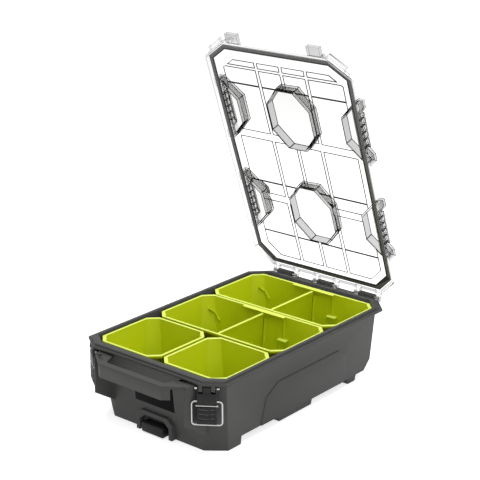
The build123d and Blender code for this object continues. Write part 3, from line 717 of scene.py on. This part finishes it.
@dataclass
class Lid:
    """Clear lid with its seal, drawn open as in the rest pose."""

    hinge_y: float = 192.2 * MM
    hinge_z: float = 103.4 * MM
    open_angle: float = 70.2
    plate_top_z: float = 111.0 * MM
    pad_top_z: float = 111.8 * MM
    face_step: float = 0.2 * MM
    pad_step: float = 2.0 * MM
    grip_x: float = 112.5 * MM
    seal_inner_x: float = 112.0 * MM
    seal_half_x: float = 118.7 * MM
    seal_front: float = 186.8 * MM
    seal_rear: float = 178.0 * MM
    seal_reach: float = 204.0 * MM
    seal_turn: float = 35.0
    seal_rear_cut: float = 23.0 * MM
    seal_sheen_width: float = 3.9 * MM
    seal_groove: float = 2.2 * MM
    seal_groove_depth: float = 0.6 * MM
    seal_rounding: float = 0.3 * MM
    line_angle: float = 30.0
    line_radius: float = 0.48 * MM
    seal_inner_front: float = -180.0 * MM
    catch_y: float = -193.0 * MM
    corner_front: float = -120.0 * MM
    lines_front: float = -185.0 * MM
    lines_rear: float = 178.0 * MM
    lines_half_x: float = 119.0 * MM
    lines_rise: float = 0.5 * MM
    lines_drop: float = 2.6 * MM
    rounding: float = 0.4 * MM
    rounding_angle: float = 20.0

    def closing(self) -> Matrix:
        """Transform from the open rest pose back to the closed one."""
        pivot = Vector((0, self.hinge_y, self.hinge_z))
        return Matrix.Translation(pivot) @ Matrix.Rotation(radians(self.open_angle), 4, "X") @ \
            Matrix.Translation(-pivot)

    def build(self) -> None:
        """Dress the shell and shape the seal."""
        shell = Bench.reworked("lid_shell", "lid_clear_shell")
        for finish in (CLEAR, CLEAR_WALL_SHADE, CLEAR_EDGE_SHADE, CLEAR_RIM_SHADE, CLEAR_GRIP_SHADE, CLEAR_LINE_SHADE, CLEAR_TOP_SHADE):
            shell.data.materials.append(finish.material())
        self.sort_faces(shell)
        self.edge_lines(shell)
        # The rounded edges take the dark edge grey, a painted shade.
        Bench.soften(shell, self.rounding, segments=1, angle=self.rounding_angle,
                     material=Clear.EDGE.value)
        shell.visible_shadow = False
        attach(shell, "lid")
        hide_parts("lid_shell")
        seal = Bench.reworked("lid_seal", "lid_seal_ring")
        seal.data.materials.append(RUBBER.material())
        seal.data.materials.append(SEAL_PAINTED_SHEEN.material())
        self.groove_seal(seal)
        self.paint_seal_sheen(seal)
        Bench.soften(seal, self.seal_rounding)
        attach(seal, "lid")
        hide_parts("lid_seal")
        log.info("lid: %d faces", len(shell.data.polygons))

    def painted_shade_of(self, at: Vector, way: Vector) -> Clear:
        """Painted shade of one face of the shell: the grey that stands for light bent at its walls, edges,
        grooves, rim, grips and pad tops.

        Args:
            at: Middle of the face, with the lid closed.
            way: Normal of the face, with the lid closed.

        Returns:
            The tint for that face.
        """
        upright = abs(way.z) < 0.5
        outside = abs(at.x) > self.seal_inner_x or at.y < self.seal_inner_front
        if at.y < self.catch_y:
            return Clear.GRIP
        if abs(at.x) > self.grip_x and at.z > self.plate_top_z + self.face_step:
            return Clear.GRIP
        if upright and self.plate_top_z < at.z < self.pad_top_z:
            return Clear.LINE
        if outside and at.z < self.plate_top_z + self.face_step:
            return Clear.RIM
        if upright:
            return Clear.WALL
        if at.z > self.pad_top_z + self.pad_step:
            return Clear.TOP
        return Clear.SHEET

    def sort_faces(self, shell: bpy.types.Object) -> None:
        """Paint walls, rims, grooves, grips and pad tops of the clear shell with their own greys, a painted
        shade for light bent in the clear plastic.

        Args:
            shell: The lid's shell in its open pose.
        """
        close = self.closing()
        turn = close.to_3x3()
        for face in shell.data.polygons:
            face.material_index = self.painted_shade_of(close @ face.center, turn @ face.normal).value

    def edge_lines(self, shell: bpy.types.Object) -> None:
        """Dark lines that light makes along the sharp edges inside the clear plate.

        Args:
            shell: The lid's shell in its open pose, before its edges are rounded.
        """
        lines = Bench.copied(shell, "lid_edge_lines", Matrix.Identity(4))
        Bench.only(lines)
        bpy.ops.object.mode_set(mode="EDIT")
        bpy.ops.mesh.select_mode(type="EDGE")
        bpy.ops.mesh.select_all(action="DESELECT")
        bpy.ops.mesh.edges_select_sharp(sharpness=radians(self.line_angle))
        bpy.ops.object.mode_set(mode="OBJECT")
        close = self.closing()
        mesh = lines.data
        places = [close @ vertex.co for vertex in mesh.vertices]
        for edge in mesh.edges:
            ends = [places[index] for index in edge.vertices]
            if any(self.on_border(end) for end in ends):
                edge.select = False
        bpy.ops.object.mode_set(mode="EDIT")
        bpy.ops.mesh.select_all(action="INVERT")
        bpy.ops.mesh.delete(type="EDGE")
        bpy.ops.object.mode_set(mode="OBJECT")
        bpy.ops.object.convert(target="CURVE")
        lines.data.bevel_depth = self.line_radius
        lines.data.bevel_resolution = 0
        bpy.ops.object.convert(target="MESH")
        lines.data.materials.clear()
        lines.data.materials.append(EDGE_LINE.material())
        lines.visible_shadow = False
        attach(lines, "lid")
        log.info("lid edge lines: %d faces", len(lines.data.polygons))

    def on_border(self, place: Vector) -> bool:
        """Whether a point of the closed lid lies on its rim, corner catches or hinge arms.

        Args:
            place: The point, with the lid closed.

        Returns:
            True where the edge lines are left out.
        """
        low = place.z < self.plate_top_z - self.lines_drop
        rim = abs(place.x) > self.lines_half_x and place.z < self.plate_top_z + self.lines_rise
        catch = place.y < self.corner_front and self.seal_depth(place) < 0
        return low or rim or catch or place.y < self.lines_front or place.y > self.lines_rear

    def seal_depth(self, place: Vector) -> float:
        """How far inside the seal's outer edge a point lies.

        Args:
            place: The point, with the lid closed.

        Returns:
            The least distance to the seal's outer sides.
        """
        x, y = abs(place.x), place.y
        slant = radians(self.seal_turn)
        corner = self.seal_reach - (x * sin(slant) - y * cos(slant))
        rear = (self.seal_half_x + self.seal_rear - self.seal_rear_cut - x - y) / sqrt(2)
        return min(self.seal_half_x - x, y + self.seal_front, self.seal_rear - y, corner, rear)

    def paint_seal_sheen(self, seal: bpy.types.Object) -> None:
        """Give the outer part of the seal a grey, a painted sheen that stands for the clear rim's light over
        the black rubber.

        Args:
            seal: The seal in its open pose, with its groove.
        """
        close = self.closing()
        for face in seal.data.polygons:
            if self.seal_depth(close @ face.center) < self.seal_sheen_width:
                face.material_index = 1

    def groove_seal(self, seal: bpy.types.Object) -> None:
        """Sink a groove between the two lips of the seal's lower face.

        Args:
            seal: The seal in its open pose.
        """
        turn = self.closing().to_3x3()
        Bench.select_faces(seal, lambda at, way: (turn @ way).z < -0.9)
        bpy.ops.object.mode_set(mode="EDIT")
        bpy.ops.mesh.inset(thickness=self.seal_groove, depth=-self.seal_groove_depth)
        bpy.ops.object.mode_set(mode="OBJECT")


@dataclass
class Latch:
    """One corner latch, in millimetres: lever with its grip, cross pin, pivot pin and wire bail."""

    side: Side
    rounding: float = 0.35 * MM
    turn: float = 35.0
    along: float = -23.4
    face_out: float = 208.3
    bail_smooth: float = 60.0
    ridge: float = 0.45
    ridge_sides: int = 8
    ridge_rows: int = 3
    ridge_top: float = 69.5
    ridge_pitch: float = 6.0
    ridge_route: tuple[Span, ...] = ((-9.5, 0.8), (-6.5, -0.6), (-3.5, -0.2), (-0.5, -0.9), (2.2, -0.9))
    ridge_tail: tuple[Span, ...] = ((5.0, -0.2), (7.0, 0.3), (9.5, 0.3))

    def place(self, along: float, out: float, up: float) -> Point:
        """Point given in the corner's own frame, in millimetres.

        Args:
            along: Distance along the corner's face.
            out: Distance out from the origin, square to the face.
            up: Height above the floor.

        Returns:
            The point in the shared frame.
        """
        c, s = cos(radians(self.turn)), sin(radians(self.turn))
        return (self.side.value * (along * c + out * s) * MM, (along * s - out * c) * MM, up * MM)

    def build(self) -> None:
        """Round and dress the pieces of this latch."""
        end = self.side.name.lower()
        for label, body, finish, slot in (
                ("latch_lever", "lever", BLACK, "latch_plastic"),
                ("latch_cross_pin", "lever", WIRE, "pin_steel"),
                ("latch_bail", "bail", WIRE, "bail_steel"),
                ("latch_pin", "base", PIN, "pin_steel")):
            node = f"{label}_{end}"
            piece = Bench.reworked(node, node + "_part")
            piece.data.materials.append(finish.material())
            if label != "latch_bail":
                Bench.soften(piece, self.rounding)
            else:
                Bench.only(piece)
                bpy.ops.object.shade_smooth_by_angle(angle=radians(self.bail_smooth))
            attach(piece, body if body == "base" else f"{body}_{end}")
            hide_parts(node)
        self.grip_waves(end)
        log.info("latch %s dressed", end)

    def grip_waves(self, end: str) -> None:
        """Three wavy ridges across the lever's grip, each in a long and a short part.

        Args:
            end: Name of the latch's side.
        """
        bars = []
        for row in range(self.ridge_rows):
            middle = self.ridge_top - self.ridge_pitch * row
            for part in (self.ridge_route, self.ridge_tail):
                points = [self.place(self.along + along, self.face_out, middle + up) for along, up in part]
                for first, last in zip(points, points[1:]):
                    name = f"wave_{len(bars)}"
                    bars.append(Bench.rod(name, self.ridge * MM, first, last, self.ridge_sides))
        waves = Bench.joined(bars, f"grip_waves_{end}")
        waves.data.materials.append(WAVE.material())
        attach(waves, f"lever_{end}")


@dataclass
class FrontPieces:
    """Release button with its springs, the bare label and the hinge pins."""

    def build(self) -> None:
        """Round and dress the small pieces that ride on the base."""
        for node, body, finish, slot, width in (
                ("release_button", "button", BLACK, "latch_plastic", 0.5),
                ("label_plate", "base", LABEL, "label_plastic", 0.4),
                ("hinge_pin_left", "base", PIN, "pin_steel", 0.3),
                ("hinge_pin_middle", "base", PIN, "pin_steel", 0.3),
                ("hinge_pin_right", "base", PIN, "pin_steel", 0.3)):
            piece = Bench.reworked(node, node + "_part")
            piece.data.materials.append(finish.material())
            Bench.soften(piece, width * MM)
            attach(piece, body)
            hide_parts(node)
        for end in ("left", "right"):
            spring = frame["nodes"]["release_spring_" + end]
            spring.data.materials.clear()
            spring.data.materials.append(WIRE.material())
        log.info("front pieces dressed")


@dataclass
class Studio:
    """Pale floor, white surround, soft lamps and the camera at the photograph's angle."""

    target: Point = (-0.22355, 0.26473, 0.1035)
    azimuth: float = 40.031
    elevation: float = 18.612
    distance: float = 2.24867
    lens: float = 106.28
    sensor: float = 36.0
    clip: Span = (0.05, 60.0)
    aim: Point = (0.0, 0.0, 0.15)
    floor_size: float = 12.0
    floor_glow: float = 0.3
    floor_light: float = 0.35
    room_light: float = 0.5

    def camera(self) -> None:
        """Set the camera where the photograph was taken from."""
        az, el = radians(self.azimuth), radians(self.elevation)
        back = Vector((sin(az) * cos(el), -cos(az) * cos(el), sin(el)))
        data = bpy.data.cameras.new("photo_camera")
        data.lens = self.lens
        data.sensor_width = self.sensor
        data.sensor_fit = "HORIZONTAL"
        data.clip_start, data.clip_end = self.clip
        eye = bpy.data.objects.new("photo_camera", data)
        eye.location = Vector(self.target) + back * self.distance
        eye.rotation_euler = back.to_track_quat("Z", "Y").to_euler()
        bpy.context.scene.collection.objects.link(eye)
        bpy.context.scene.camera = eye

    def floor(self) -> None:
        """Pale floor that looks white to the camera and keeps the shadow."""
        Bench.clear()
        bpy.ops.mesh.primitive_plane_add(size=self.floor_size, location=(0, 0, 0))
        ground = bpy.context.object
        ground.name = "studio_floor"
        Bench.settle(ground)
        made = bpy.data.materials.new("pale_floor")
        made.use_nodes = True
        nodes, links = made.node_tree.nodes, made.node_tree.links
        shader = nodes["Principled BSDF"]
        shader.inputs["Base Color"].default_value = (0.8, 0.8, 0.8, 1.0)
        shader.inputs["Roughness"].default_value = 0.9
        shader.inputs["Specular IOR Level"].default_value = 0.1
        shader.inputs["Emission Color"].default_value = (1.0, 1.0, 1.0, 1.0)
        glow = nodes.new("ShaderNodeMath")
        glow.operation = "MULTIPLY_ADD"
        glow.inputs[1].default_value = self.floor_glow
        glow.inputs[2].default_value = self.floor_light
        links.new(self.seen_rays(made.node_tree), glow.inputs[0])
        links.new(glow.outputs[0], shader.inputs["Emission Strength"])
        ground.data.materials.append(made)

    @staticmethod
    def seen_rays(tree: bpy.types.NodeTree) -> bpy.types.NodeSocket:
        """Mask of the rays that the camera sees, straight, mirrored or through the clear lid.

        Args:
            tree: Node tree that gets the nodes.

        Returns:
            The socket that carries the mask.
        """
        nodes, links = tree.nodes, tree.links
        rays = nodes.new("ShaderNodeLightPath")
        straight = nodes.new("ShaderNodeMath")
        straight.operation = "MAXIMUM"
        links.new(rays.outputs["Is Camera Ray"], straight.inputs[0])
        links.new(rays.outputs["Is Transmission Ray"], straight.inputs[1])
        every = nodes.new("ShaderNodeMath")
        every.operation = "MAXIMUM"
        links.new(straight.outputs[0], every.inputs[0])
        links.new(rays.outputs["Is Glossy Ray"], every.inputs[1])
        return every.outputs[0]

    def world(self) -> None:
        """White room to the camera and through glass, softer as a light."""
        world = bpy.data.worlds.new("white_room")
        bpy.context.scene.world = world
        world.use_nodes = True
        nodes, links = world.node_tree.nodes, world.node_tree.links
        shine = nodes["Background"]
        shine.inputs["Color"].default_value = (1.0, 1.0, 1.0, 1.0)
        shine.inputs["Strength"].default_value = self.room_light
        plain = nodes.new("ShaderNodeBackground")
        plain.inputs["Color"].default_value = (1.0, 1.0, 1.0, 1.0)
        plain.inputs["Strength"].default_value = 1.0
        mix = nodes.new("ShaderNodeMixShader")
        links.new(self.seen_rays(world.node_tree), mix.inputs["Fac"])
        links.new(shine.outputs["Background"], mix.inputs[1])
        links.new(plain.outputs["Background"], mix.inputs[2])
        links.new(mix.outputs["Shader"], nodes["World Output"].inputs["Surface"])

    def lamp(self, name: str, place: Point, size: float, power: float) -> None:
        """Soft square lamp, turned towards the box.

        Args:
            name: Name of the lamp.
            place: Where it stands.
            size: Its width.
            power: Its power in watts.
        """
        data = bpy.data.lights.new(name, "AREA")
        data.size = size
        data.energy = power
        lamp = bpy.data.objects.new(name, data)
        lamp.location = place
        lamp.rotation_euler = (Vector(place) - Vector(self.aim)).to_track_quat("Z", "Y").to_euler()
        bpy.context.scene.collection.objects.link(lamp)

    def build(self) -> None:
        """Set up the whole stage."""
        self.camera()
        self.floor()
        self.world()
        self.lamp("lamp_right", (2.4, -0.5, 1.5), size=1.4, power=19.0)
        self.lamp("lamp_top", (0.0, 0.1, 2.6), size=2.4, power=64.0)
        self.lamp("lamp_front", (-0.5, -2.6, 0.6), size=1.0, power=0.8)
        bpy.context.scene.view_settings.view_transform = "Standard"
        log.info("stage set")


def main() -> None:
    """Build every piece in order."""
    logging.basicConfig(level=logging.INFO, format="%(name)s: %(message)s")
    Studio().build()
    Tub().build()
    Bins().build()
    Lid().build()
    for side in Side:
        Latch(side).build()
    FrontPieces().build()


if __name__ == "__main__":
    main()
